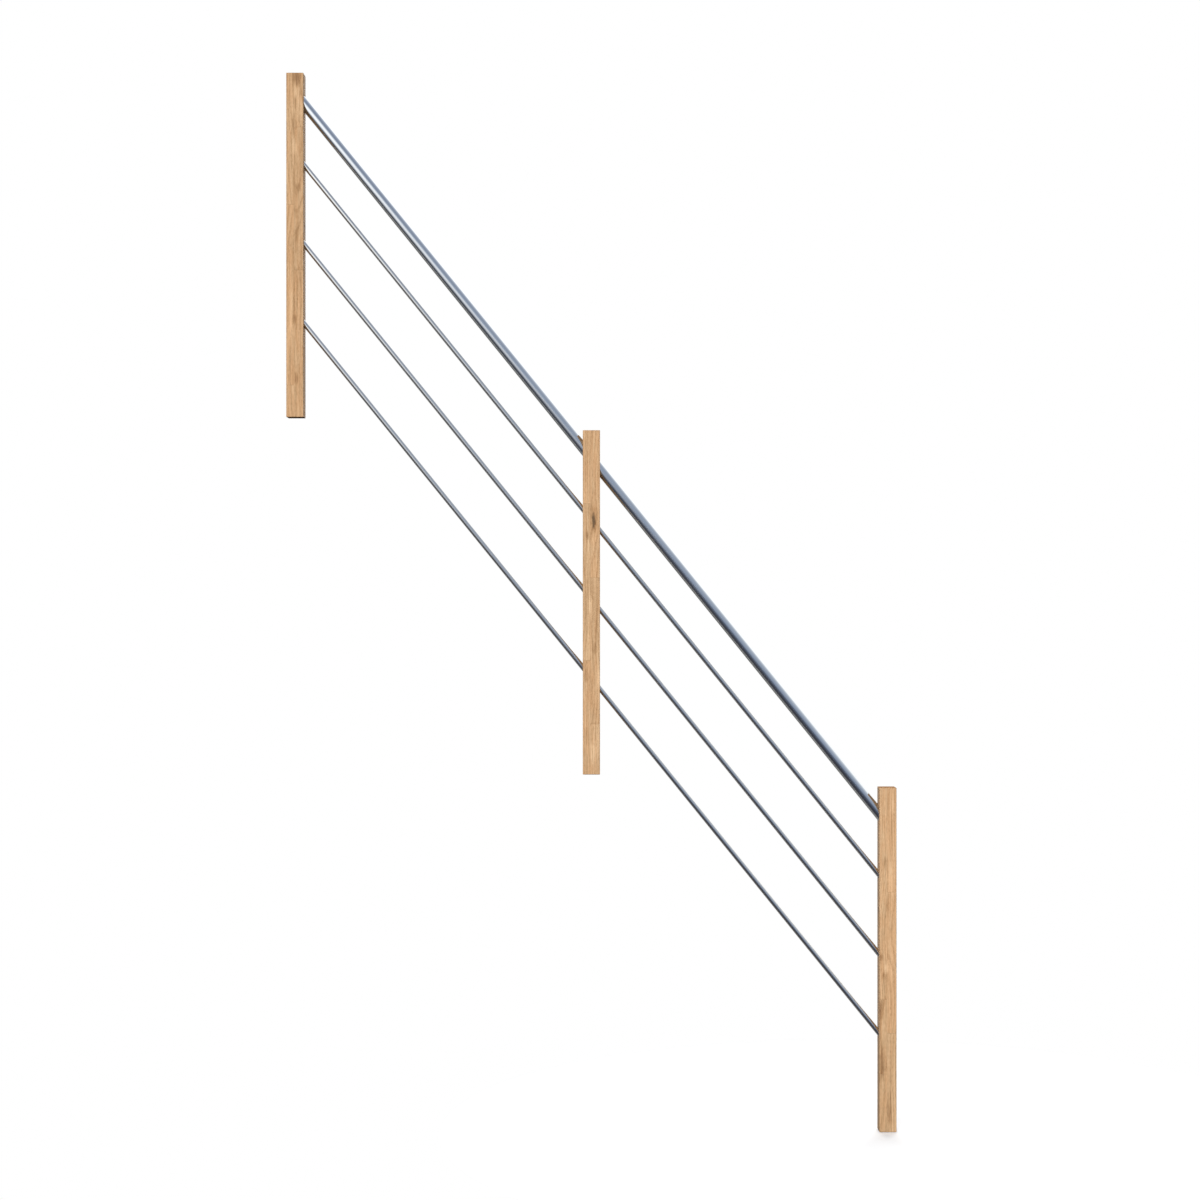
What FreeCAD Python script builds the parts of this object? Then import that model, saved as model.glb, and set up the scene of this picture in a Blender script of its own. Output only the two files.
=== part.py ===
"""Stair balustrade panel: three square oak posts, a tubular handrail and three infill tubes.

The posts step up a steep stair and are bolted through their backs to its side. The handrail and the
infill tubes lie parallel on the pitch of the stair. They are socketed in the lower and upper posts and
pass through the middle post.

Frame: millimetres, +Z up, -X upstairs, +Y towards the stair. The origin is on the back face of the
lower post, halfway between its two threaded inserts.
"""
import FreeCAD, Part
import os
import Sketcher

# Driving sizes in millimetres: alias and value
SIZES = (
    ("post_width", 50),
    ("post_depth", 50),
    ("post_height", 1000),
    ("post_edge_round", 2),
    ("bay_run", 861),
    ("bay_rise", 1038),
    ("handrail_diameter", 30),
    ("handrail_wall", 2),
    ("handrail_drop_lower", 106),
    ("handrail_drop_upper", 56),
    ("infill_diameter", 15),
    ("infill_wall", 1.5),
    ("infill_first_drop", 178),
    ("infill_pitch", 230.5),
    ("tube_setback", 25),
    ("handrail_reach", 28),
    ("infill_reach", 35),
    ("bore_clearance", 0.3),
    ("end_play", 0.6),
    ("insert_foot_height", 35),
    ("insert_pitch", 60),
    ("insert_diameter", 12),
    ("insert_bore", 6.8),
    ("insert_length", 25),
    ("insert_chamfer", 1),
)

# Posts from the foot of the stair upwards, each with the number of bays below it
POSTS = (("lower", 0), ("middle", 1), ("upper", 2))
BAYS = 2

# Infill tubes from the top down, each with the number of pitches below the first
INFILL = (("upper", 0), ("middle", 1), ("lower", 2))

# Inserts of a post, each with the number of pitches above the lowest
INSERTS = (("low", 0), ("high", 1))

# Slope of the tubes, from the heights at which the handrail meets the lower and the upper post
TUBE_RUN = f"({BAYS} * Sizes.bay_run)"
TUBE_RISE = f"({BAYS} * Sizes.bay_rise + Sizes.handrail_drop_lower - Sizes.handrail_drop_upper)"
TUBE_SLOPE = f"({TUBE_RISE} / {TUBE_RUN})"
TUBE_PITCH = f"atan2({TUBE_RISE}; {TUBE_RUN})"

# Turn about Y that brings a tube standing along Z onto the pitch, rising towards -X
TUBE_TILT = f"({TUBE_PITCH} - 90 deg)"

# Foot of the lower post below the origin
FOOT_BELOW_ORIGIN = "(Sizes.insert_foot_height + Sizes.insert_pitch / 2)"


def cell(alias):
    """Expression for one driving size."""
    return f"Sizes.{alias}"


def add_size_sheet(doc):
    """Write the driving sizes into the document's sheet."""
    sheet = doc.addObject("Spreadsheet::Sheet", "Sizes")
    for row, (alias, value) in enumerate(SIZES, start=1):
        sheet.set(f"A{row}", alias)
        sheet.set(f"B{row}", str(value))
        sheet.setAlias(f"B{row}", alias)
    doc.recompute()


def add_body(doc, label):
    """Empty body that will be written under its label."""
    body = doc.addObject("PartDesign::Body", label)
    body.Label = label
    return body


def origin_feature(body, role):
    """Plane or axis of the body's own origin."""
    return next(item for item in body.Origin.OriginFeatures if item.Role == role)


def add_sketch(body, name, plane):
    """Sketch on one of the body's own origin planes."""
    sketch = body.newObject("Sketcher::SketchObject", name)
    sketch.AttachmentSupport = [(origin_feature(body, plane), "")]
    sketch.MapMode = "FlatFace"
    return sketch


def bind_place(item, holder, x, y, z):
    """Bind the position held in a Placement or an AttachmentOffset."""
    item.setExpression(f"{holder}.Base.x", x)
    item.setExpression(f"{holder}.Base.y", y)
    item.setExpression(f"{holder}.Base.z", z)


def bind_tilt(item, holder):
    """Turn a Placement or an AttachmentOffset square to the tubes."""
    about_y = FreeCAD.Rotation(FreeCAD.Vector(0, 1, 0), -1)
    setattr(item, holder, FreeCAD.Placement(FreeCAD.Vector(), about_y))
    item.setExpression(f"{holder}.Rotation.Angle", TUBE_TILT)


def draw_circle(sketch, name, diameter):
    """Circle on the sketch's origin, with its diameter bound."""
    circle = sketch.addGeometry(Part.Circle(FreeCAD.Vector(), FreeCAD.Vector(0, 0, 1), 1))
    sketch.addConstraint(Sketcher.Constraint("Coincident", circle, 3, -1, 1))
    size = sketch.addConstraint(Sketcher.Constraint("Diameter", circle, 2))
    sketch.renameConstraint(size, name)
    sketch.setExpression(f"Constraints.{name}", diameter)


def draw_post_section(sketch):
    """Rectangle with its back edge on the X axis, centred on the Y axis."""
    corners = [FreeCAD.Vector(x, y, 0) for x, y in ((-1, 0), (-1, -1), (1, -1), (1, 0))]
    for start, end in zip(corners, corners[1:] + corners[:1]):
        sketch.addGeometry(Part.LineSegment(start, end))
    left, front, right, back = range(4)
    for first, second in ((left, front), (front, right), (right, back), (back, left)):
        sketch.addConstraint(Sketcher.Constraint("Coincident", first, 2, second, 1))
    for side in (left, right):
        sketch.addConstraint(Sketcher.Constraint("Vertical", side))
    sketch.addConstraint(Sketcher.Constraint("Horizontal", front))
    sketch.addConstraint(Sketcher.Constraint("Symmetric", back, 1, back, 2, -2))
    sketch.addConstraint(Sketcher.Constraint("PointOnObject", back, 1, -1))
    width = sketch.addConstraint(Sketcher.Constraint("DistanceX", front, 1, front, 2, 2))
    depth = sketch.addConstraint(Sketcher.Constraint("DistanceY", left, 2, left, 1, 1))
    for size, name in ((width, "post_width"), (depth, "post_depth")):
        sketch.renameConstraint(size, name)
        sketch.setExpression(f"Constraints.{name}", cell(name))


def add_pad(body, sketch, length):
    """Solid of a sketch along its normal."""
    pad = body.newObject("PartDesign::Pad", f"{sketch.Name}_pad")
    pad.Profile = sketch
    pad.setExpression("Length", length)
    sketch.Document.recompute()
    return pad


def add_pocket(body, sketch, length, along_normal):
    """Cut of a sketch: through everything, or to a bound length."""
    pocket = body.newObject("PartDesign::Pocket", f"{sketch.Name}_pocket")
    pocket.Profile = sketch
    pocket.Reversed = along_normal
    if length is None:
        pocket.Type = "ThroughAll"
    else:
        pocket.setExpression("Length", length)
    sketch.Document.recompute()
    if pocket.Shape.Volume >= pocket.BaseFeature.Shape.Volume:
        raise RuntimeError(f"{pocket.Name} cuts nothing")
    return pocket


def add_row(body, feature, count, pitch, downwards):
    """Repeat a feature at an even pitch up or down the post."""
    row = body.newObject("PartDesign::LinearPattern", f"{feature.Name}_row")
    row.Originals = [feature]
    row.Direction = (origin_feature(body, "Z_Axis"), [""])
    row.Reversed = downwards
    row.Occurrences = count
    row.setExpression("Length", f"{count - 1} * {pitch}")
    body.Tip = row
    body.Document.recompute()


def handrail_height(bays_up):
    """Height of the handrail's axis over a post's own foot, on the post's centre line."""
    return (
        f"(Sizes.post_height - Sizes.handrail_drop_lower"
        f" + {bays_up} * ({TUBE_SLOPE} * Sizes.bay_run - Sizes.bay_rise))"
    )


def bore_start(bays_up, reach):
    """X of the end of a bore from the post's centre line: a socket's bottom, or clear of the post."""
    if bays_up == 0:
        return f"({reach} - Sizes.post_width / 2)"
    if bays_up == BAYS:
        return f"(Sizes.post_width / 2 - {reach})"
    return "(2 * Sizes.post_width)"


def add_bore(body, name, bays_up, diameter, reach, drop):
    """Bore on the pitch of the stair, blind in an end post and through the middle one."""
    start = bore_start(bays_up, reach)
    sketch = add_sketch(body, name, "XY_Plane")
    bind_tilt(sketch, "AttachmentOffset")
    height = f"{handrail_height(bays_up)} - {drop} - {start} * {TUBE_SLOPE}"
    bind_place(sketch, "AttachmentOffset", start, f"-{cell('tube_setback')}", height)
    draw_circle(sketch, "bore", f"{diameter} + 2 * Sizes.bore_clearance")
    opens_upstairs = bays_up < BAYS
    return add_pocket(body, sketch, None, opens_upstairs)


def build_post(doc, name, bays_up):
    """Post with eased edges, inclined bores for the tubes and two insert seats in its back."""
    body = add_body(doc, f"{name}_post")
    section = add_sketch(body, f"{name}_post_section", "XY_Plane")
    draw_post_section(section)
    pad = add_pad(body, section, cell("post_height"))

    easing = body.newObject("PartDesign::Fillet", f"{name}_post_easing")
    easing.Base = (pad, [])
    easing.UseAllEdges = True
    easing.setExpression("Radius", cell("post_edge_round"))
    doc.recompute()

    add_bore(body, f"{name}_handrail_bore", bays_up, cell("handrail_diameter"), cell("handrail_reach"), "0")
    infill_bore = add_bore(
        body,
        f"{name}_infill_bore",
        bays_up,
        cell("infill_diameter"),
        cell("infill_reach"),
        cell("infill_first_drop"),
    )
    add_row(body, infill_bore, len(INFILL), cell("infill_pitch"), True)

    seat = add_sketch(body, f"{name}_insert_seat", "XZ_Plane")
    bind_place(seat, "AttachmentOffset", "0", cell("insert_foot_height"), "0")
    draw_circle(seat, "seat", cell("insert_diameter"))
    seat_pocket = add_pocket(body, seat, cell("insert_length"), True)
    add_row(body, seat_pocket, len(INSERTS), cell("insert_pitch"), False)

    bind_place(
        body,
        "Placement",
        f"-{bays_up} * Sizes.bay_run",
        "0",
        f"{bays_up} * Sizes.bay_rise - {FOOT_BELOW_ORIGIN}",
    )
    return body


def build_tube(doc, label, diameter, wall, reach, drop):
    """Round tube from socket to socket, standing on the bottom of its lower socket."""
    body = add_body(doc, label)
    section = add_sketch(body, f"{label}_section", "XY_Plane")
    draw_circle(section, "outside", diameter)
    draw_circle(section, "inside", f"{diameter} - 2 * {wall}")
    span = f"({TUBE_RUN} - Sizes.post_width + 2 * {reach}) / cos({TUBE_PITCH})"
    add_pad(body, section, f"{span} - Sizes.end_play")

    start = bore_start(0, reach)
    height = f"{handrail_height(0)} - {FOOT_BELOW_ORIGIN} - {drop} - {start} * {TUBE_SLOPE}"
    bind_tilt(body, "Placement")
    bind_place(body, "Placement", start, f"-{cell('tube_setback')}", height)
    return body


def build_insert(doc, label, bays_up, pitches_up):
    """Threaded insert, flush with the back of its post, drawn with a plain bore."""
    body = add_body(doc, label)
    section = add_sketch(body, f"{label}_section", "XZ_Plane")
    draw_circle(section, "outside", cell("insert_diameter"))
    draw_circle(section, "bore", cell("insert_bore"))
    sleeve = add_pad(body, section, cell("insert_length"))

    lead_in = body.newObject("PartDesign::Chamfer", f"{label}_lead_in")
    lead_in.Base = (sleeve, [outer_front_edge(sleeve.Shape)])
    lead_in.setExpression("Size", cell("insert_chamfer"))
    doc.recompute()

    bind_place(
        body,
        "Placement",
        f"-{bays_up} * Sizes.bay_run",
        "0",
        f"{bays_up} * Sizes.bay_rise + {pitches_up} * Sizes.insert_pitch - Sizes.insert_pitch / 2",
    )
    return body


def outer_front_edge(shape):
    """Name of the outer rim at the insert's buried end."""
    def rank(item):
        edge = item[1]
        is_rim = len(edge.Vertexes) == 1 and isinstance(edge.Curve, Part.Circle)
        return (is_rim, -edge.BoundBox.YMin, edge.Length)

    index = max(enumerate(shape.Edges, start=1), key=rank)[0]
    return f"Edge{index}"


def build_panel(doc):
    """Every piece of the panel."""
    pieces = [build_post(doc, name, bays_up) for name, bays_up in POSTS]
    pieces.append(
        build_tube(
            doc, "handrail", cell("handrail_diameter"), cell("handrail_wall"), cell("handrail_reach"), "0"
        )
    )
    for name, pitches_down in INFILL:
        drop = f"(Sizes.infill_first_drop + {pitches_down} * Sizes.infill_pitch)"
        pieces.append(
            build_tube(
                doc,
                f"{name}_infill_tube",
                cell("infill_diameter"),
                cell("infill_wall"),
                cell("infill_reach"),
                drop,
            )
        )
    for post, bays_up in POSTS:
        for name, pitches_up in INSERTS:
            pieces.append(build_insert(doc, f"{post}_post_{name}_insert", bays_up, pitches_up))
    return pieces


def check_document(doc, pieces):
    """Stop unless every object is sound and every piece is one valid solid."""
    for item in doc.Objects:
        if "Invalid" in item.State or "Error" in item.State:
            raise RuntimeError(f"{item.Name} failed: {item.State}")
    for piece in pieces:
        if piece.Shape.isNull() or not piece.Shape.isValid() or len(piece.Shape.Solids) != 1:
            raise RuntimeError(f"{piece.Label} is not one valid solid")


def write_pieces(pieces):
    """Write each piece under its own name."""
    os.makedirs("parts", exist_ok=True)
    for piece in pieces:
        piece.Shape.exportStep(f"parts/{piece.Label}.step")


def main():
    """Build, check and write the panel."""
    doc = FreeCAD.newDocument("StairBalustradePanel")
    add_size_sheet(doc)
    pieces = build_panel(doc)
    doc.recompute()
    check_document(doc, pieces)
    write_pieces(pieces)


main()
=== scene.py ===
import math
from typing import NamedTuple

import bmesh
import bpy
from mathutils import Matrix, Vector


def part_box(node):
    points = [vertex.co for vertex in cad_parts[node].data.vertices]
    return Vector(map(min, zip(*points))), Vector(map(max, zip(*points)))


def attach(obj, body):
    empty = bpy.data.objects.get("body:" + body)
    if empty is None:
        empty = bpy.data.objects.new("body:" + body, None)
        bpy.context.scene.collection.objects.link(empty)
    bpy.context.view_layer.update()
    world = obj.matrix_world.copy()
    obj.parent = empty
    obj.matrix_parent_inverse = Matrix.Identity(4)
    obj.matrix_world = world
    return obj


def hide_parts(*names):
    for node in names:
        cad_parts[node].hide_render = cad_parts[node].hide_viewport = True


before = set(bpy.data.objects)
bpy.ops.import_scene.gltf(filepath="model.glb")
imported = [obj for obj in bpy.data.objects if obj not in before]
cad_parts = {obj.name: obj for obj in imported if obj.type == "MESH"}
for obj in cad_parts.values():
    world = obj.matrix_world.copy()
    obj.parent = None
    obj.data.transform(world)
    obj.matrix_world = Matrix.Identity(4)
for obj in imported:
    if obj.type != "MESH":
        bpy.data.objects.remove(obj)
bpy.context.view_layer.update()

# Looks of a stair balustrade panel: three oak posts, a stainless handrail, three stainless infill tubes
# and six threaded inserts. Lengths are in metres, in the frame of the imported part. The camera is on the
# -Y side, and the stair goes up towards -X.

MM = 0.001
WHITE = (1.0, 1.0, 1.0)


def srgb(red, green, blue):
    """Linear colour of a colour given in 0 to 255."""
    linear = []
    for level in (red / 255, green / 255, blue / 255):
        linear.append(level / 12.92 if level <= 0.04045 else ((level + 0.055) / 1.055) ** 2.4)
    return tuple(linear)


def metres(lengths):
    """Lengths in metres from millimetres."""
    return tuple(length * MM for length in lengths)


def direction(azimuth, elevation):
    """Unit vector from degrees: azimuth from the camera side towards +X, elevation above level."""
    turn = math.radians(azimuth)
    rise = math.radians(elevation)
    return Vector((math.sin(turn) * math.cos(rise), -math.cos(turn) * math.cos(rise), math.sin(rise)))


def tube_axis(node):
    """Unit vector along a tube, from its upper end to its lower end."""
    corners = [vertex.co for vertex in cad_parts[node].data.vertices]
    middle = sum(corners, Vector()) / len(corners)
    along = Vector()
    for corner in corners:
        along += corner - middle if corner.x > middle.x else middle - corner
    return along.normalized()


def post_foot(node):
    """Middle of a post's foot, on its back face."""
    low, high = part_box(node)
    return Vector(((low.x + high.x) / 2, 0.0, low.z))


TUBE_AXIS = tube_axis("handrail")
TUBE_UP = Vector((-TUBE_AXIS.z, 0.0, TUBE_AXIS.x))
POST_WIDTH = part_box("lower_post")[1].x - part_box("lower_post")[0].x


# Nodes


class Noise(NamedTuple):
    """Noise in a finish: its cells per metre on each axis, and the finer detail in it."""

    cells: tuple
    detail: float = 0.0
    roughness: float = 0.5


class Nodes:
    """Short calls that add nodes to one tree and join them."""

    def __init__(self, tree):
        self.tree = tree

    def add(self, kind, **settings):
        """A node of one kind, with its settings."""
        node = self.tree.nodes.new("ShaderNode" + kind)
        for name, value in settings.items():
            setattr(node, name, value)
        return node

    def feed(self, socket, value):
        """Join an output to a socket, or set the socket to a plain value or colour."""
        if isinstance(value, bpy.types.NodeSocket):
            self.tree.links.new(value, socket)
        elif socket.type == "RGBA":
            socket.default_value = (*value, 1.0)
        else:
            socket.default_value = value

    def feed_row(self, sockets, values):
        """Feed sockets in order."""
        for socket, value in zip(sockets, values):
            self.feed(socket, value)

    def math(self, operation, *values):
        """Result of a sum on plain values."""
        node = self.add("Math", operation=operation)
        self.feed_row(node.inputs, values)
        return node.outputs[0]

    def plus(self, total, value, share):
        """A total with a share of a value added."""
        return self.math("MULTIPLY_ADD", value, share, total)

    def total(self, start, values, shares):
        """A start with a share of each named value added."""
        for name, share in shares.items():
            start = self.plus(start, values[name], share)
        return start

    def apart(self, first, second):
        """How far two values are apart."""
        return self.math("ABSOLUTE", self.math("SUBTRACT", first, second))

    def vector(self, operation, *values):
        """Result of a sum on vectors."""
        node = self.add("VectorMath", operation=operation)
        self.feed_row(node.inputs, values)
        gives_value = operation in ("DOT_PRODUCT", "LENGTH")
        return node.outputs["Value" if gives_value else "Vector"]

    def split(self, vector):
        """The three parts of a vector."""
        node = self.add("SeparateXYZ")
        self.feed(node.inputs[0], vector)
        return tuple(node.outputs)

    def join(self, *parts):
        """A vector of three parts."""
        node = self.add("CombineXYZ")
        self.feed_row(node.inputs, parts)
        return node.outputs[0]

    def step(self, value, low, high, first=0.0, last=1.0):
        """Smooth step of a value from first at low to last at high."""
        node = self.add("MapRange", interpolation_type="SMOOTHSTEP")
        self.feed_row(node.inputs, (value, low, high, first, last))
        return node.outputs["Result"]

    def fade(self, value, low, high):
        """Smooth step of a value from 1 at low to 0 at high."""
        return self.step(value, low, high, first=1.0, last=0.0)

    def noise(self, position, noise):
        """A noise at a position."""
        node = self.add("TexNoise")
        self.feed(node.inputs["Vector"], self.vector("MULTIPLY", position, noise.cells))
        node.inputs["Scale"].default_value = 1.0
        node.inputs["Detail"].default_value = noise.detail
        node.inputs["Roughness"].default_value = noise.roughness
        return node.outputs[0]

    def blend(self, factor, first, second):
        """Value between first and second."""
        node = self.add("Mix", data_type="FLOAT")
        self.feed_row((node.inputs[0], node.inputs[2], node.inputs[3]), (factor, first, second))
        return node.outputs[0]

    def tint(self, factor, first, second, blend_type="MIX"):
        """Colour between first and second."""
        node = self.add("Mix", data_type="RGBA", blend_type=blend_type)
        self.feed_row((node.inputs[0], node.inputs[6], node.inputs[7]), (factor, first, second))
        return node.outputs[2]

    def stain(self, colour, mask, stain, strength):
        """A colour that turns to a stain where a mask is."""
        return self.tint(self.math("MULTIPLY", mask, strength), colour, stain)

    def ramp(self, factor, stops):
        """Colour along a row of stops, each a place and a colour."""
        node = self.add("ValToRGB")
        elements = node.color_ramp.elements
        for place, _ in stops[1:-1]:
            elements.new(place)
        elements[0].position = stops[0][0]
        elements[-1].position = stops[-1][0]
        for element, (_, colour) in zip(elements, stops):
            element.color = (*colour, 1.0)
        self.feed(node.inputs[0], factor)
        return node.outputs[0]

    def bump(self, height, strength, distance):
        """Normal of a surface with fine relief."""
        node = self.add("Bump")
        self.feed(node.inputs["Height"], height)
        node.inputs["Strength"].default_value = strength
        node.inputs["Distance"].default_value = distance
        return node.outputs["Normal"]

    def background(self, colour):
        """Light of a colour from far away."""
        node = self.add("Background")
        self.feed(node.inputs["Color"], colour)
        return node.outputs[0]

    def choose(self, factor, first, second):
        """The first shader where the factor is 0, and the second where it is 1."""
        node = self.add("MixShader")
        self.feed_row(node.inputs, (factor, first, second))
        return node.outputs[0]

    def place(self, group, **values):
        """A node group in this tree, with its named inputs fed. Gives its outputs."""
        node = self.add("Group", node_tree=group)
        for name, value in values.items():
            self.feed(node.inputs[name.replace("_", " ")], value)
        return node.outputs


def new_group(name, inputs, outputs):
    """A node group with named sockets: its nodes, what it is given and what it has to put out."""
    tree = bpy.data.node_groups.new(name, "ShaderNodeTree")
    for label, kind in inputs:
        tree.interface.new_socket(label, in_out="INPUT", socket_type="NodeSocket" + kind)
    for label in outputs:
        tree.interface.new_socket(label, in_out="OUTPUT", socket_type="NodeSocketFloat")
    given = tree.nodes.new("NodeGroupInput").outputs
    wanted = tree.nodes.new("NodeGroupOutput").inputs
    return Nodes(tree), given, wanted


def new_material(name):
    """A material with one Principled shader: its nodes and that shader's inputs."""
    material = bpy.data.materials.new(name)
    material.use_nodes = True
    shader = material.node_tree.nodes["Principled BSDF"]
    return material, Nodes(material.node_tree), shader.inputs


# Oak staves, in two rows: finger joints zigzag through the depth, and rings lie round a pith behind

STAVES_IN_ROW = 3
FINGER_WIDTH = 1.9 * MM
FINGER_SLOPE = 5.0
GLUE_SEAM = (0.1 * MM, 0.4 * MM)
JOINT_SEAM = (0.3 * MM, 1.1 * MM)
LOG_SIZE = (0.7, 0.7, 5.0)
PITH_ACROSS = (-45 * MM, 45 * MM)
PITH_BEHIND = (20 * MM, 70 * MM)
RING_WIDTH = 3.1 * MM
RING_SWAY = 32 * MM
EARLY_WOOD_ENDS = (0.05, 0.55)
EARLY_WOOD_STARTS = (0.90, 1.00)
LATE_WOOD_PORES = 0.25
PORE_RANGE = (0.60, 0.68)
FLECK_RANGE = (0.64, 0.76)
WARM_RANGE = (0.42, 0.83)
WARM_STAVES = 0.25
STAVE_TONES = (-0.375, -0.235)

# Noises of the grain, which runs along Z
SWAY = Noise((9, 9, 2.2), detail=1.0)
DRIFT = Noise((32, 32, 4), detail=1.0)
WARMTH = Noise((120, 120, 16), detail=2.0)
STREAK = Noise((270, 270, 7.5), detail=2.0, roughness=0.55)
DASH = Noise((330, 330, 90), detail=1.0)
FLECK = Noise((420, 140, 60))
FIBRE = Noise((1150, 1150, 42), detail=2.0)
PORE = Noise((2300, 2300, 105))

# How far the grain lightens the oak, and how far it stands up
GRAIN_LIGHTENS = {"drift": 0.36, "streak": 0.81, "dash": 0.35, "fibre": 0.20, "early": -0.13, "fleck": 0.05}
GRAIN_RELIEF = {"early": -0.2, "fibre": 0.5, "pores": -0.8, "joint": -0.5}


def find_stave(nodes, given):
    """The stave at a point: chance values of its own, and how far the point is from its row's joints."""
    across, deep, up = nodes.split(given["Position"])
    right = nodes.math("GREATER_THAN", across, given["Glue Line"])
    height = nodes.plus(up, nodes.math("PINGPONG", deep, FINGER_WIDTH), FINGER_SLOPE)
    number = nodes.math("MULTIPLY", right, STAVES_IN_ROW)
    gaps = []
    for end in ("Low", "High"):
        joint = nodes.blend(right, given[f"Left {end} Joint"], given[f"Right {end} Joint"])
        number = nodes.math("ADD", number, nodes.math("GREATER_THAN", height, joint))
        gaps.append(nodes.apart(height, joint))
    chance = nodes.add("TexWhiteNoise", noise_dimensions="1D")
    nodes.feed(chance.inputs["W"], nodes.math("ADD", number, given["Seed"]))
    return chance.outputs["Color"], nodes.math("MINIMUM", *gaps)


def early_wood(nodes, position, cut, chance):
    """Early wood of the growth rings, which sway round the stave's own pith."""
    across, deep, _ = nodes.split(position)
    chance_across, chance_behind, _ = nodes.split(chance)
    from_pith = nodes.join(
        nodes.math("SUBTRACT", across, nodes.blend(chance_across, *PITH_ACROSS)),
        nodes.math("SUBTRACT", deep, nodes.blend(chance_behind, *PITH_BEHIND)),
        0.0,
    )
    reach = nodes.plus(nodes.vector("LENGTH", from_pith), nodes.noise(cut, SWAY), RING_SWAY)
    ring = nodes.math("FRACT", nodes.math("DIVIDE", reach, RING_WIDTH))
    return nodes.math("ADD", nodes.fade(ring, *EARLY_WOOD_ENDS), nodes.step(ring, *EARLY_WOOD_STARTS))


def early_pores(nodes, cut, early):
    """Pores, most of them in the early wood."""
    pores = nodes.step(nodes.noise(cut, PORE), *PORE_RANGE)
    return nodes.math("MULTIPLY", pores, nodes.blend(early, LATE_WOOD_PORES, 1.0))


def seams(nodes, position, glue_line, to_joint):
    """Fine dark lines where staves meet."""
    to_glue = nodes.apart(nodes.split(position)[0], glue_line)
    return nodes.math("MAXIMUM", nodes.fade(to_glue, *GLUE_SEAM), nodes.fade(to_joint, *JOINT_SEAM))


def make_stave_group():
    """Oak glued up from finger-jointed staves, each cut from its own place in the log."""
    inputs = [("Position", "Vector"), ("Seed", "Float"), ("Glue Line", "Float")]
    inputs += [(f"{row} {end} Joint", "Float") for row in ("Left", "Right") for end in ("Low", "High")]
    outputs = ("Tone", "Warmth", "Pores", "Growth Rings", "Joint", "Relief")
    nodes, given, wanted = new_group("oak staves", inputs, outputs)
    position = given["Position"]
    chance, to_joint = find_stave(nodes, given)
    _, chance_warm, chance_tone = nodes.split(chance)
    cut = nodes.vector("MULTIPLY_ADD", chance, LOG_SIZE, position)
    early = early_wood(nodes, position, cut, chance)
    grain = {
        "drift": nodes.noise(cut, DRIFT),
        "streak": nodes.noise(cut, STREAK),
        "dash": nodes.noise(cut, DASH),
        "fibre": nodes.noise(cut, FIBRE),
        "fleck": nodes.step(nodes.noise(cut, FLECK), *FLECK_RANGE),
        "early": early,
        "pores": early_pores(nodes, cut, early),
        "joint": seams(nodes, position, given["Glue Line"], to_joint),
    }
    warmth = nodes.plus(nodes.noise(cut, WARMTH), chance_warm, WARM_STAVES)
    nodes.feed(wanted["Tone"], nodes.total(nodes.blend(chance_tone, *STAVE_TONES), grain, GRAIN_LIGHTENS))
    nodes.feed(wanted["Warmth"], nodes.step(warmth, *WARM_RANGE))
    nodes.feed(wanted["Pores"], grain["pores"])
    nodes.feed(wanted["Growth Rings"], early)
    nodes.feed(wanted["Joint"], grain["joint"])
    nodes.feed(wanted["Relief"], nodes.total(0.0, grain, GRAIN_RELIEF))
    return nodes.tree


# Knots, marks and eased edges of the oak: the reach from a centre is in half sizes

KNOT_RIM = Noise((170, 170, 90), detail=2.0)
KNOT_CRACK = Noise((170, 170, 40), detail=2.0)
KNOT_FRAYS = 0.7
KNOT_RINGS = 5.5
KNOT_RING_RANGE = (0.3, 1.0)
KNOT_RINGS_END = (0.4, 2.0)
KNOT_CRACK_WIDTH = (0.004, 0.024)
KNOT_CRACKS_END = (0.45, 0.9)
KNOT_HEART_ENDS = (0.35, 1.0)
KNOT_HALO_ENDS = (0.7, 2.1)
KNOT_PUSH_ENDS = (0.4, 3.2)
KNOT_PUSH = -0.7
MARK_RIM = Noise((420, 420, 16), detail=1.0)
MARK_FIBRE = Noise((1000, 1000, 15), detail=1.0)
MARK_FRAYS = 1.3
MARK_ENDS = (0.2, 1.2)
MARK_FIBRE_RANGE = (0.35, 0.65)
MARK_FIBRE_TONES = (0.45, 1.55)
EASED_EDGE = (2.4 * MM, 0.2 * MM)
BLOT_INPUTS = (("Position", "Vector"), ("Centre", "Vector"), ("Half Size", "Vector"))


def reach_from_centre(nodes, given):
    """Offset of a point from a centre, and its length in half sizes."""
    offset = nodes.vector("SUBTRACT", given["Position"], given["Centre"])
    return offset, nodes.vector("LENGTH", nodes.vector("DIVIDE", offset, given["Half Size"]))


def fray(nodes, reach, noise, amount):
    """A reach that a noise makes uneven."""
    return nodes.plus(reach, nodes.math("SUBTRACT", noise, 0.5), amount)


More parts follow.
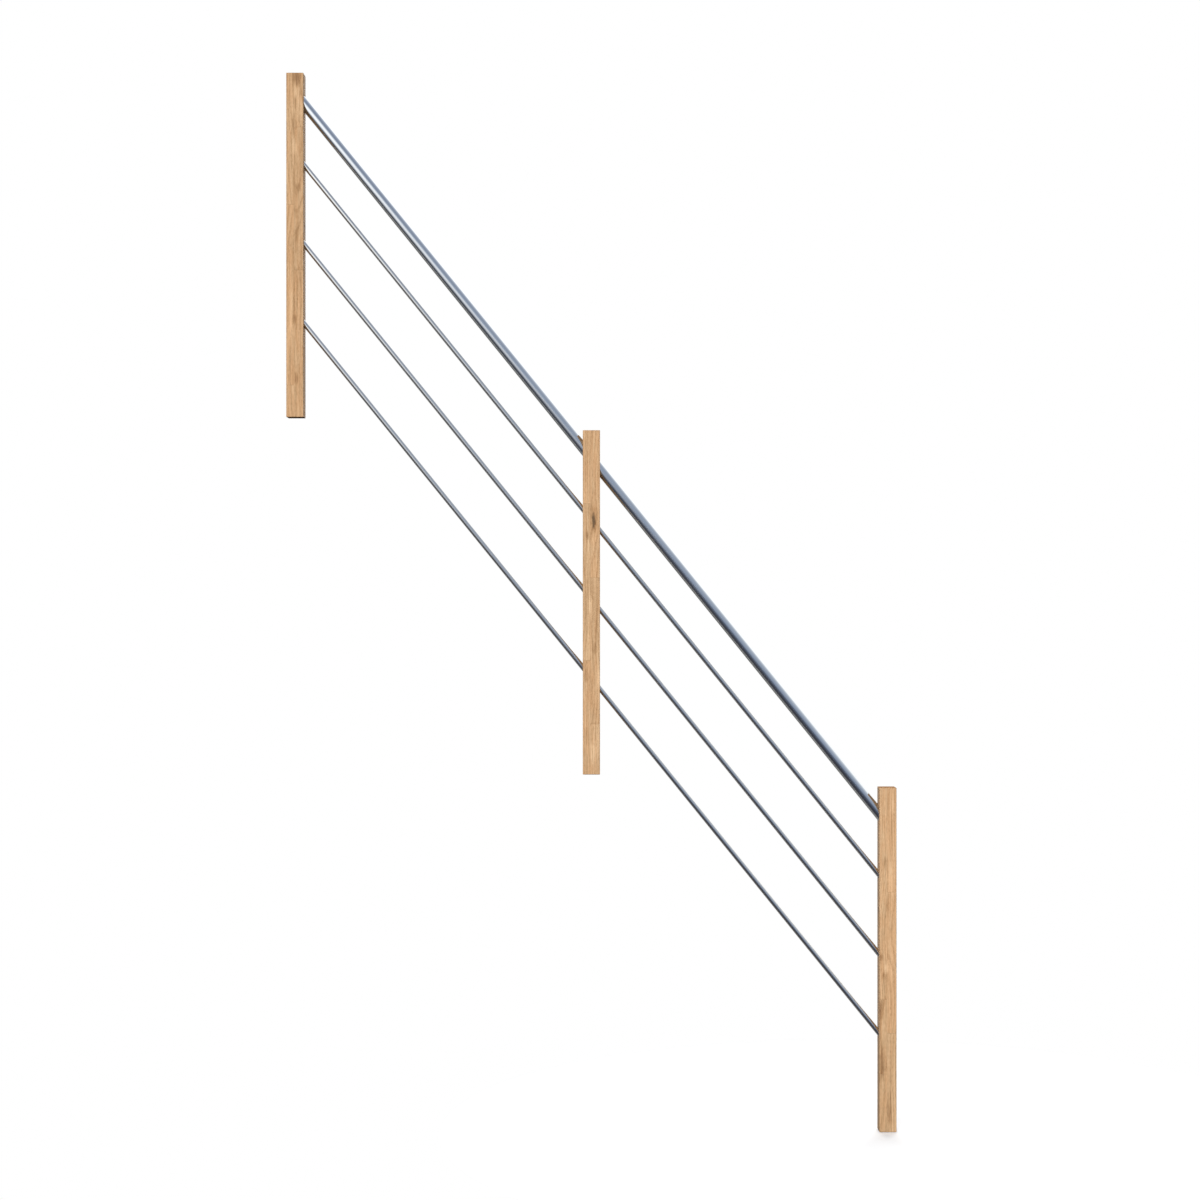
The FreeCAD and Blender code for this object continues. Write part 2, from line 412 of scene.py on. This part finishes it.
def make_knot_group():
    """A knot: heart, cracks, rings and halo, and how far it pushes the grain aside."""
    outputs = ("Heart", "Cracks", "Knot Rings", "Halo", "Push")
    nodes, given, wanted = new_group("oak knot", BLOT_INPUTS, outputs)
    offset, reach = reach_from_centre(nodes, given)
    frayed = fray(nodes, reach, nodes.noise(given["Position"], KNOT_RIM), KNOT_FRAYS)
    ring = nodes.math("FRACT", nodes.math("MULTIPLY", frayed, KNOT_RINGS))
    rings = nodes.math("MULTIPLY", nodes.step(ring, *KNOT_RING_RANGE), nodes.fade(frayed, *KNOT_RINGS_END))
    seam = nodes.apart(nodes.noise(given["Position"], KNOT_CRACK), 0.5)
    cracks = nodes.fade(seam, *KNOT_CRACK_WIDTH)
    cracks = nodes.math("MULTIPLY", cracks, nodes.fade(reach, *KNOT_CRACKS_END))
    push = nodes.step(reach, *KNOT_PUSH_ENDS, first=KNOT_PUSH, last=0.0)
    nodes.feed(wanted["Heart"], nodes.fade(frayed, *KNOT_HEART_ENDS))
    nodes.feed(wanted["Cracks"], cracks)
    nodes.feed(wanted["Knot Rings"], rings)
    nodes.feed(wanted["Halo"], nodes.fade(frayed, *KNOT_HALO_ENDS))
    nodes.feed(wanted["Push"], nodes.math("MULTIPLY", nodes.split(offset)[0], push))
    return nodes.tree


def make_mark_group():
    """A light or dark patch in the grain: a bundle of fibres of one tone."""
    nodes, given, wanted = new_group("oak mark", BLOT_INPUTS, ("Mask",))
    _, reach = reach_from_centre(nodes, given)
    frayed = fray(nodes, reach, nodes.noise(given["Position"], MARK_RIM), MARK_FRAYS)
    dark, light = MARK_FIBRE_TONES
    fibres = nodes.noise(given["Position"], MARK_FIBRE)
    fibres = nodes.step(fibres, *MARK_FIBRE_RANGE, first=dark, last=light)
    nodes.feed(wanted["Mask"], nodes.math("MULTIPLY", nodes.fade(frayed, *MARK_ENDS), fibres))
    return nodes.tree


def make_edge_group():
    """Mask of a square post's four long eased edges, where hands and cloths polish it and where the oak is
    darkened as painted shade on the rounding.
    """
    nodes, given, wanted = new_group("eased edges", [("Position", "Vector")], ("Mask",))
    across, deep, _ = nodes.split(given["Position"])
    half = POST_WIDTH / 2
    starts, ends = (half - inset for inset in EASED_EDGE)
    side = nodes.step(nodes.math("ABSOLUTE", across), starts, ends)
    face = nodes.step(nodes.apart(deep, -half), starts, ends)
    nodes.feed(wanted["Mask"], nodes.math("MULTIPLY", side, face))
    return nodes.tree


STAVES = make_stave_group()
KNOT = make_knot_group()
MARK = make_mark_group()
EDGES = make_edge_group()


# Oak of the posts


class Knot(NamedTuple):
    """Knot of a post, in millimetres from the middle of the post's foot, on its back face."""

    centre: tuple
    half_size: tuple


class Mark(NamedTuple):
    """Patch of the grain on a post's front, in millimetres from the post's centre line and foot."""

    across: float
    height: float
    half_width: float
    half_height: float
    lightens: float


class Timber(NamedTuple):
    """What one post's oak shows. Heights are in millimetres from the post's foot."""

    seed: float
    glue_line: float
    left_joints: tuple
    right_joints: tuple
    knots: tuple
    marks: tuple


TIMBERS = {
    "upper_post": Timber(
        seed=3.0,
        glue_line=-2.5,
        left_joints=(96, 620),
        right_joints=(430, 845),
        knots=(Knot((25, -20, 560), (6, 6, 11)),),
        marks=(
            Mark(8, 976, 11, 22, -0.38),
            Mark(3, 992, 26, 34, -0.22),
            Mark(2, 915, 6, 24, -0.34),
            Mark(19, 939, 10, 24, -0.24),
            Mark(-1, 782, 9, 28, 0.26),
            Mark(-4, 849, 6, 42, -0.22),
            Mark(11, 669, 8, 16, -0.20),
            Mark(-10, 330, 6, 150, 0.20),
            Mark(-1, 285, 8, 20, -0.26),
            Mark(5, 114, 6, 20, -0.24),
        ),
    ),
    "middle_post": Timber(
        seed=17.0,
        glue_line=-2.0,
        left_joints=(335, 790),
        right_joints=(150, 575),
        knots=(Knot((6.5, -50, 738), (7.2, 12, 27)), Knot((-4, 0, 330), (6, 10, 12))),
        marks=(
            Mark(-14, 288, 7, 24, -0.28),
            Mark(9, 366, 9, 19, -0.22),
            Mark(16, 457, 7, 115, -0.18),
            Mark(-3, 488, 5, 42, 0.30),
            Mark(-12, 695, 6, 16, -0.30),
            Mark(-9, 648, 6, 38, 0.22),
            Mark(-15, 120, 7, 26, -0.22),
            Mark(3, 62, 12, 42, 0.24),
            Mark(20, 276, 6, 34, 0.22),
        ),
    ),
    "lower_post": Timber(
        seed=23.0,
        glue_line=-2.5,
        left_joints=(172, 388),
        right_joints=(290, 700),
        knots=(Knot((-25, -30, 640), (6, 6, 12)),),
        marks=(
            Mark(-18, 205, 9, 75, -0.36),
            Mark(-19, 355, 8, 34, -0.28),
            Mark(4, 58, 7, 62, -0.40),
            Mark(-19, 507, 7, 13, -0.32),
            Mark(-13, 452, 7, 15, -0.26),
            Mark(-8, 783, 7, 20, -0.26),
            Mark(-5, 475, 7, 18, 0.28),
            Mark(10, 728, 14, 62, 0.22),
            Mark(13, 952, 7, 42, 0.20),
        ),
    ),
}
MARK_DEPTH = 22 * MM
OAK_TONES = (
    (0.00, srgb(148, 112, 80)),
    (0.27, srgb(182, 145, 106)),
    (0.50, srgb(205, 168, 128)),
    (0.73, srgb(223, 186, 145)),
    (1.00, srgb(240, 204, 163)),
)
OAK_WARMING = (1.03, 0.955, 0.90)

# Colour and strength with which each mask stains the oak, along the grain and at the end grain
OAK_STAINS = {
    "Pores": (srgb(126, 88, 56), 0.50),
    "Joint": (srgb(112, 78, 48), 0.25),
    "Heart": (srgb(90, 74, 57), 0.78),
    "Cracks": (srgb(48, 37, 28), 0.80),
}
END_PALE = srgb(166, 124, 83)
END_STAINS = {
    "Growth Rings": (srgb(120, 83, 51), 1.0),
    "Pores": (srgb(84, 57, 35), 0.50),
}
END_STRENGTH = 0.85
END_TILT = (0.3, 0.8)

# How far each mask lightens and dulls the oak. Edge darkens the eased edges as painted shade on their
# rounding, and makes them smoother where they are polished.
MASK_LIGHTENS = {"Halo": -0.20, "Knot Rings": -0.22, "Edge": -0.06}
MASK_DULLS = {"Relief": -0.12, "Edge": -0.08, "End": 0.38}
OAK_ROUGHNESS = 0.56
OAK_SHINE = 0.20


def oak_masks(nodes, position, timber):
    """Masks of a post's oak: its knots, the staves whose grain they push aside, its edges and its ends."""
    masks = {"Heart": 0.0, "Cracks": 0.0, "Knot Rings": 0.0, "Halo": 0.0}
    grain = position
    for centre, half_size in timber.knots:
        knot = nodes.place(KNOT, Position=grain, Centre=metres(centre), Half_Size=metres(half_size))
        for name, so_far in masks.items():
            masks[name] = nodes.math("MAXIMUM", so_far, knot[name])
        grain = nodes.vector("ADD", grain, nodes.join(knot["Push"], 0.0, 0.0))
    left_low, left_high = metres(timber.left_joints)
    right_low, right_high = metres(timber.right_joints)
    staves = nodes.place(
        STAVES,
        Position=grain,
        Seed=timber.seed,
        Glue_Line=timber.glue_line * MM,
        Left_Low_Joint=left_low,
        Left_High_Joint=left_high,
        Right_Low_Joint=right_low,
        Right_High_Joint=right_high,
    )
    masks.update(staves.items())
    masks["Edge"] = nodes.place(EDGES, Position=position)["Mask"]
    upward = nodes.split(nodes.add("NewGeometry").outputs["Normal"])[2]
    masks["End"] = nodes.step(nodes.math("ABSOLUTE", upward), *END_TILT)
    return masks


def oak_tone(nodes, position, timber, masks):
    """How light the oak is, from 0 to 1."""
    tone = masks["Tone"]
    for mark in timber.marks:
        centre = (mark.across * MM, -POST_WIDTH, mark.height * MM)
        half_size = (mark.half_width * MM, MARK_DEPTH, mark.half_height * MM)
        patch = nodes.place(MARK, Position=position, Centre=centre, Half_Size=half_size)
        tone = nodes.plus(tone, patch["Mask"], mark.lightens)
    # The eased edges get their painted shade here, along with the knots' halos and rings.
    return nodes.total(tone, masks, MASK_LIGHTENS)


def oak_colour(nodes, tone, masks):
    """Colour of the oak along the grain, and across it at the ends, which soak up more oil."""
    along = nodes.ramp(tone, OAK_TONES)
    along = nodes.tint(masks["Warmth"], along, OAK_WARMING, "MULTIPLY")
    for mask, (stain, strength) in OAK_STAINS.items():
        along = nodes.stain(along, masks[mask], stain, strength)
    across = END_PALE
    for mask, (stain, strength) in END_STAINS.items():
        across = nodes.stain(across, masks[mask], stain, strength)
    return nodes.stain(along, masks["End"], across, END_STRENGTH)


def make_oak(node):
    """Oiled oak of one post, with its own staves, knots and marks. End grain is darker and duller."""
    material, nodes, shader = new_material("oak_" + node)
    timber = TIMBERS[node]
    position = nodes.vector("SUBTRACT", nodes.add("TexCoord").outputs["Object"], post_foot(node))
    masks = oak_masks(nodes, position, timber)
    tone = oak_tone(nodes, position, timber, masks)
    nodes.feed(shader["Base Color"], oak_colour(nodes, tone, masks))
    roughness = nodes.total(OAK_ROUGHNESS, masks, MASK_DULLS)
    nodes.feed(shader["Roughness"], nodes.math("MINIMUM", roughness, 1.0))
    shader["Specular IOR Level"].default_value = OAK_SHINE
    nodes.feed(shader["Normal"], nodes.bump(masks["Relief"], strength=0.35, distance=0.3 * MM))
    return material


# Metals: polishing lines run along the tubes, and haze dims and dulls the steel a little

POLISH_LINES = Noise((22, 2600, 2600), detail=2.0)
POLISH_HAZE = Noise((9, 60, 60), detail=2.0)
POLISH_DULLS = {"Haze": 0.6, "Lines": 0.4}
POLISH_RANGE = (0.3, 0.7)
HANDRAIL_STEEL = (0.68, 0.68, 0.68)
INFILL_STEEL = (0.74, 0.71, 0.67)
HAZE_DIMS = 0.94
ZINC_CLOUD = Noise((420, 420, 420), detail=3.0)
ZINC_CLOUD_RANGE = (0.35, 0.65)
ZINC_PALE = srgb(206, 200, 180)
ZINC_YELLOW = srgb(188, 176, 140)


def make_polish_group():
    """Fine polishing lines along an axis, and slow hazy patches left by handling."""
    inputs = [("Position", "Vector"), ("Axis", "Vector"), ("Up", "Vector")]
    nodes, given, wanted = new_group("polish", inputs, ("Lines", "Haze"))
    along = nodes.vector("DOT_PRODUCT", given["Position"], given["Axis"])
    up = nodes.vector("DOT_PRODUCT", given["Position"], given["Up"])
    turned = nodes.join(along, up, nodes.split(given["Position"])[1])
    nodes.feed(wanted["Lines"], nodes.noise(turned, POLISH_LINES))
    nodes.feed(wanted["Haze"], nodes.noise(turned, POLISH_HAZE))
    return nodes.tree


POLISH = make_polish_group()


def make_stainless(name, steel, smooth, dull):
    """Polished stainless steel of a tube, with its colour and the range of its roughness."""
    material, nodes, shader = new_material(name)
    position = nodes.add("TexCoord").outputs["Object"]
    polish = nodes.place(POLISH, Position=position, Axis=TUBE_AXIS, Up=TUBE_UP)
    hazy_steel = [HAZE_DIMS * part for part in steel]
    nodes.feed(shader["Base Color"], nodes.tint(polish["Haze"], steel, hazy_steel))
    wear = nodes.total(0.0, polish, POLISH_DULLS)
    nodes.feed(shader["Roughness"], nodes.step(wear, *POLISH_RANGE, first=smooth, last=dull))
    shader["Metallic"].default_value = 1.0
    nodes.feed(shader["Normal"], nodes.bump(polish["Lines"], strength=0.04, distance=0.1 * MM))
    return material


def make_zinc(name):
    """Zinc-plated steel of the threaded inserts, yellowish and a little cloudy."""
    material, nodes, shader = new_material(name)
    position = nodes.add("TexCoord").outputs["Object"]
    polish = nodes.place(POLISH, Position=position, Axis=(1.0, 0.0, 0.0), Up=(0.0, 0.0, 1.0))
    cloud = nodes.step(nodes.noise(position, ZINC_CLOUD), *ZINC_CLOUD_RANGE)
    nodes.feed(shader["Base Color"], nodes.tint(cloud, ZINC_PALE, ZINC_YELLOW))
    nodes.feed(shader["Roughness"], nodes.step(polish["Haze"], *POLISH_RANGE, first=0.26, last=0.40))
    shader["Metallic"].default_value = 1.0
    nodes.feed(shader["Normal"], nodes.bump(polish["Lines"], strength=0.10, distance=0.1 * MM))
    return material


# Pieces: the posts and tubes are the CAD nodes. The inserts get a six-sided drive and a screw thread

INSERT_SIDES = 60
INSERT_CHAMFER = 1.0 * MM
INSERT_RIM = 0.3 * MM
DRIVE_APOTHEM = 4.1 * MM
DRIVE_DEPTH = 4.5 * MM
DRIVE_MOUTH = 0.4 * MM
DRIVE_STEP = 0.009 * MM
THREAD_CORE = 3.4 * MM
THREAD_ROOT = 4.0 * MM
THREAD_PITCH = 1.25 * MM
THREAD_STEPS = 8
THREAD_FLANK = 2.6
THREAD_CREST = 0.15


def add_object(name, data):
    """An object of some data, in the scene."""
    item = bpy.data.objects.new(name, data)
    bpy.context.scene.collection.objects.link(item)
    return item


def add_mesh(name, mesh, material):
    """An object of a finished mesh, in one material."""
    data = bpy.data.meshes.new(name)
    mesh.to_mesh(data)
    mesh.free()
    data.materials.append(material)
    return add_object(name, data)


def paint(node, material):
    """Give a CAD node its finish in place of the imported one."""
    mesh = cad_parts[node].data
    mesh.materials.clear()
    mesh.materials.append(material)


def add_posts():
    """Oak for the three posts."""
    for node in TIMBERS:
        paint(node, make_oak(node))


def add_tubes():
    """Stainless for the handrail and the infill tubes."""
    paint("handrail", make_stainless("stainless_handrail", HANDRAIL_STEEL, smooth=0.07, dull=0.15))
    infill = make_stainless("stainless_infill", INFILL_STEEL, smooth=0.08, dull=0.17)
    for level in ("upper", "middle", "lower"):
        paint(level + "_infill_tube", infill)


def bore_radius(turn, depth):
    """Radius of an insert's bore: a six-sided drive at the mouth, then a screw thread."""
    if depth < DRIVE_DEPTH:
        sixth = math.pi / 3
        return DRIVE_APOTHEM / math.cos(turn % sixth - sixth / 2)
    phase = (depth / THREAD_PITCH - turn / (2 * math.pi)) % 1.0
    tooth = min(1.0, max(0.0, THREAD_FLANK * abs(phase - 0.5) - THREAD_CREST))
    return THREAD_CORE + (THREAD_ROOT - THREAD_CORE) * tooth


def insert_rings(radius, length):
    """Depth and radii of an insert's rings, from its buried end round the outside and down the bore."""
    turns = [2 * math.pi * side / INSERT_SIDES for side in range(INSERT_SIDES)]

    def round_ring(depth, reach):
        return depth, [(turn, reach) for turn in turns]

    def bore_ring(depth, ease=0.0):
        return depth, [(turn, bore_radius(turn, depth) + ease) for turn in turns]

    rings = [round_ring(length, radius - INSERT_CHAMFER), round_ring(length - INSERT_CHAMFER, radius)]
    rings += [round_ring(INSERT_RIM, radius), round_ring(0.0, radius - INSERT_RIM)]
    rings += [bore_ring(0.0, ease=DRIVE_MOUTH), bore_ring(DRIVE_MOUTH), bore_ring(DRIVE_DEPTH - DRIVE_STEP)]
    thread_rings = math.ceil((length - DRIVE_DEPTH) / THREAD_PITCH * THREAD_STEPS)
    rings += [bore_ring(DRIVE_DEPTH + index * THREAD_PITCH / THREAD_STEPS) for index in range(thread_rings)]
    rings.append(bore_ring(length))
    return rings


def make_insert(node, zinc):
    """Threaded insert that stands for one CAD node, its mouth flush with the post's back."""
    low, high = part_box(node)
    centre = (low + high) / 2
    mesh = bmesh.new()
    rings = []
    for depth, ring in insert_rings((high.x - low.x) / 2, high.y - low.y):
        places = [(reach * math.cos(turn), -depth, reach * math.sin(turn)) for turn, reach in ring]
        rings.append([mesh.verts.new((centre.x + x, high.y + y, centre.z + z)) for x, y, z in places])
    for first, second in zip(rings, rings[1:] + rings[:1]):
        for side in range(INSERT_SIDES):
            after = (side + 1) % INSERT_SIDES
            mesh.faces.new((first[side], first[after], second[after], second[side]))
    bmesh.ops.recalc_face_normals(mesh, faces=mesh.faces)
    piece = add_mesh(node + "_threaded", mesh, zinc)
    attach(piece, "root")
    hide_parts(node)


def add_inserts():
    """Two threaded inserts in the back of each post."""
    zinc = make_zinc("zinc_insert")
    for post in TIMBERS:
        for place in ("low", "high"):
            make_insert(f"{post}_{place}_insert", zinc)


# Studio: a round floor, lamps, and light whose stops run from straight down, at 0, to straight up, at 1

FLOOR_RADIUS = 1.3
FLOOR_SIDES = 96
FLOOR_DROP = 0.5 * MM
FLOOR_LIFT = 0.14
FLOOR_MOTTLE = Noise((6, 6, 6), detail=3.0)
FLOOR_DIM = srgb(238, 238, 238)
FLOOR_PALE = srgb(242, 242, 242)
FILL_LIGHT = (
    (0.46, (0.030, 0.028, 0.025)),
    (0.56, (0.285, 0.290, 0.300)),
)
STUDIO_FRONT = (
    (0.15, (0.01, 0.01, 0.03)),
    (0.30, (0.08, 0.09, 0.12)),
    (0.43, (0.13, 0.17, 0.25)),
    (0.55, (0.35, 0.42, 0.56)),
    (0.70, (0.41, 0.50, 0.64)),
    (0.88, (0.18, 0.23, 0.35)),
)
STUDIO_BACK = (
    (0.15, (0.30, 0.30, 0.29)),
    (0.30, (0.18, 0.19, 0.18)),
    (0.45, (0.38, 0.38, 0.38)),
    (0.53, (0.90, 0.92, 0.94)),
    (0.70, (1.60, 1.66, 1.68)),
    (0.88, (0.63, 0.71, 0.86)),
)
STUDIO_FLOOR = (
    (0.05, (0.26, 0.26, 0.26)),
    (0.30, (0.50, 0.51, 0.52)),
    (0.50, (0.98, 1.00, 1.02)),
)
FRONT_TO_BACK = (-0.89, 0.76)
DOWN_STAIR = (0.34, 0.66)
WINDOW_LIGHT = (2.20, 2.26, 2.28)
WINDOW_DIRECTION = direction(-43.5, 31.4)
WINDOW_REACH = 53.6
WINDOW_CORE = 19.0
CAMERA_PLACE = (-0.836, -6.55, 1.480)
CAMERA_LENS = 67.18
CAMERA_SENSOR = 36.0


def make_floor_paint(name):
    """Matt white floor. What the camera sees of it is lifted to white, and the shadow stays."""
    material, nodes, shader = new_material(name)
    mottle = nodes.noise(nodes.add("TexCoord").outputs["Object"], FLOOR_MOTTLE)
    nodes.feed(shader["Base Color"], nodes.tint(mottle, FLOOR_DIM, FLOOR_PALE))
    shader["Roughness"].default_value = 0.9
    shader["Specular IOR Level"].default_value = 0.1
    nodes.feed(shader["Emission Color"], WHITE)
    camera_ray = nodes.add("LightPath").outputs["Is Camera Ray"]
    nodes.feed(shader["Emission Strength"], nodes.math("MULTIPLY", camera_ray, FLOOR_LIFT))
    return material


def add_floor():
    """Round pale floor under the lowest post."""
    mesh = bmesh.new()
    bmesh.ops.create_circle(mesh, cap_ends=True, segments=FLOOR_SIDES, radius=FLOOR_RADIUS)
    floor = add_mesh("floor", mesh, make_floor_paint("floor_white"))
    floor.location = (0.0, 0.0, post_foot("lower_post").z - FLOOR_DROP)
    floor.visible_glossy = False
    floor.visible_diffuse = False


def add_lamp(name, towards, strength, spread):
    """Soft studio lamp that shines from a direction."""
    lamp = bpy.data.lights.new(name, "SUN")
    lamp.energy = strength
    lamp.angle = math.radians(spread)
    sun = add_object(name, lamp)
    sun.rotation_euler = towards.to_track_quat("Z", "Y").to_euler()
    sun.visible_glossy = False


def studio_reflection(nodes, heading, rise):
    """What the steel shows: dim in front, light behind, a window up left, a pale floor down the stair."""
    backward = nodes.step(nodes.split(heading)[1], *FRONT_TO_BACK)
    studio = nodes.tint(backward, nodes.ramp(rise, STUDIO_FRONT), nodes.ramp(rise, STUDIO_BACK))
    to_window = nodes.vector("DOT_PRODUCT", heading, WINDOW_DIRECTION)
    window_edges = [math.cos(math.radians(angle)) for angle in (WINDOW_REACH, WINDOW_CORE)]
    studio = nodes.tint(nodes.step(to_window, *window_edges), studio, WINDOW_LIGHT)

    # The tubes show the floor only to a camera above them or up the stair
    down_stair = nodes.vector("DOT_PRODUCT", heading, TUBE_AXIS)
    return nodes.tint(nodes.step(down_stair, *DOWN_STAIR), studio, nodes.ramp(rise, STUDIO_FLOOR))


def add_world():
    """Fill for the oak, a studio for reflections, and a white backdrop for the camera and through glass."""
    world = bpy.data.worlds.new("studio")
    world.use_nodes = True
    world.node_tree.nodes.clear()
    bpy.context.scene.world = world
    nodes = Nodes(world.node_tree)
    rays = nodes.add("LightPath").outputs
    heading = nodes.add("TexCoord").outputs["Generated"]
    rise = nodes.math("MULTIPLY_ADD", nodes.split(heading)[2], 0.5, 0.5)
    fill = nodes.background(nodes.ramp(rise, FILL_LIGHT))
    studio = nodes.background(studio_reflection(nodes, heading, rise))
    seen_through = nodes.math("MAXIMUM", rays["Is Camera Ray"], rays["Is Transmission Ray"])
    shown = nodes.choose(rays["Is Glossy Ray"], fill, studio)
    shown = nodes.choose(seen_through, shown, nodes.background(WHITE))
    nodes.feed(nodes.add("OutputWorld").inputs["Surface"], shown)

    # Rays find the world by themselves, so that each kind gets its own light
    world.cycles.sampling_method = "NONE"


def add_camera():
    """Camera at the photograph's place, level and square to the panel."""
    data = bpy.data.cameras.new("photo_view")
    data.lens = CAMERA_LENS
    data.sensor_width = CAMERA_SENSOR
    camera = add_object("photo_view", data)
    camera.location = CAMERA_PLACE
    camera.rotation_euler = (math.radians(90), 0.0, 0.0)
    bpy.context.scene.camera = camera


add_posts()
add_tubes()
add_inserts()
add_floor()
add_world()
add_lamp("key_lamp", direction(-9, 23), strength=2.93, spread=50)
add_lamp("back_lamp", direction(172, 35), strength=2.6, spread=50)
add_camera()
bpy.context.scene.view_settings.view_transform = "Standard"
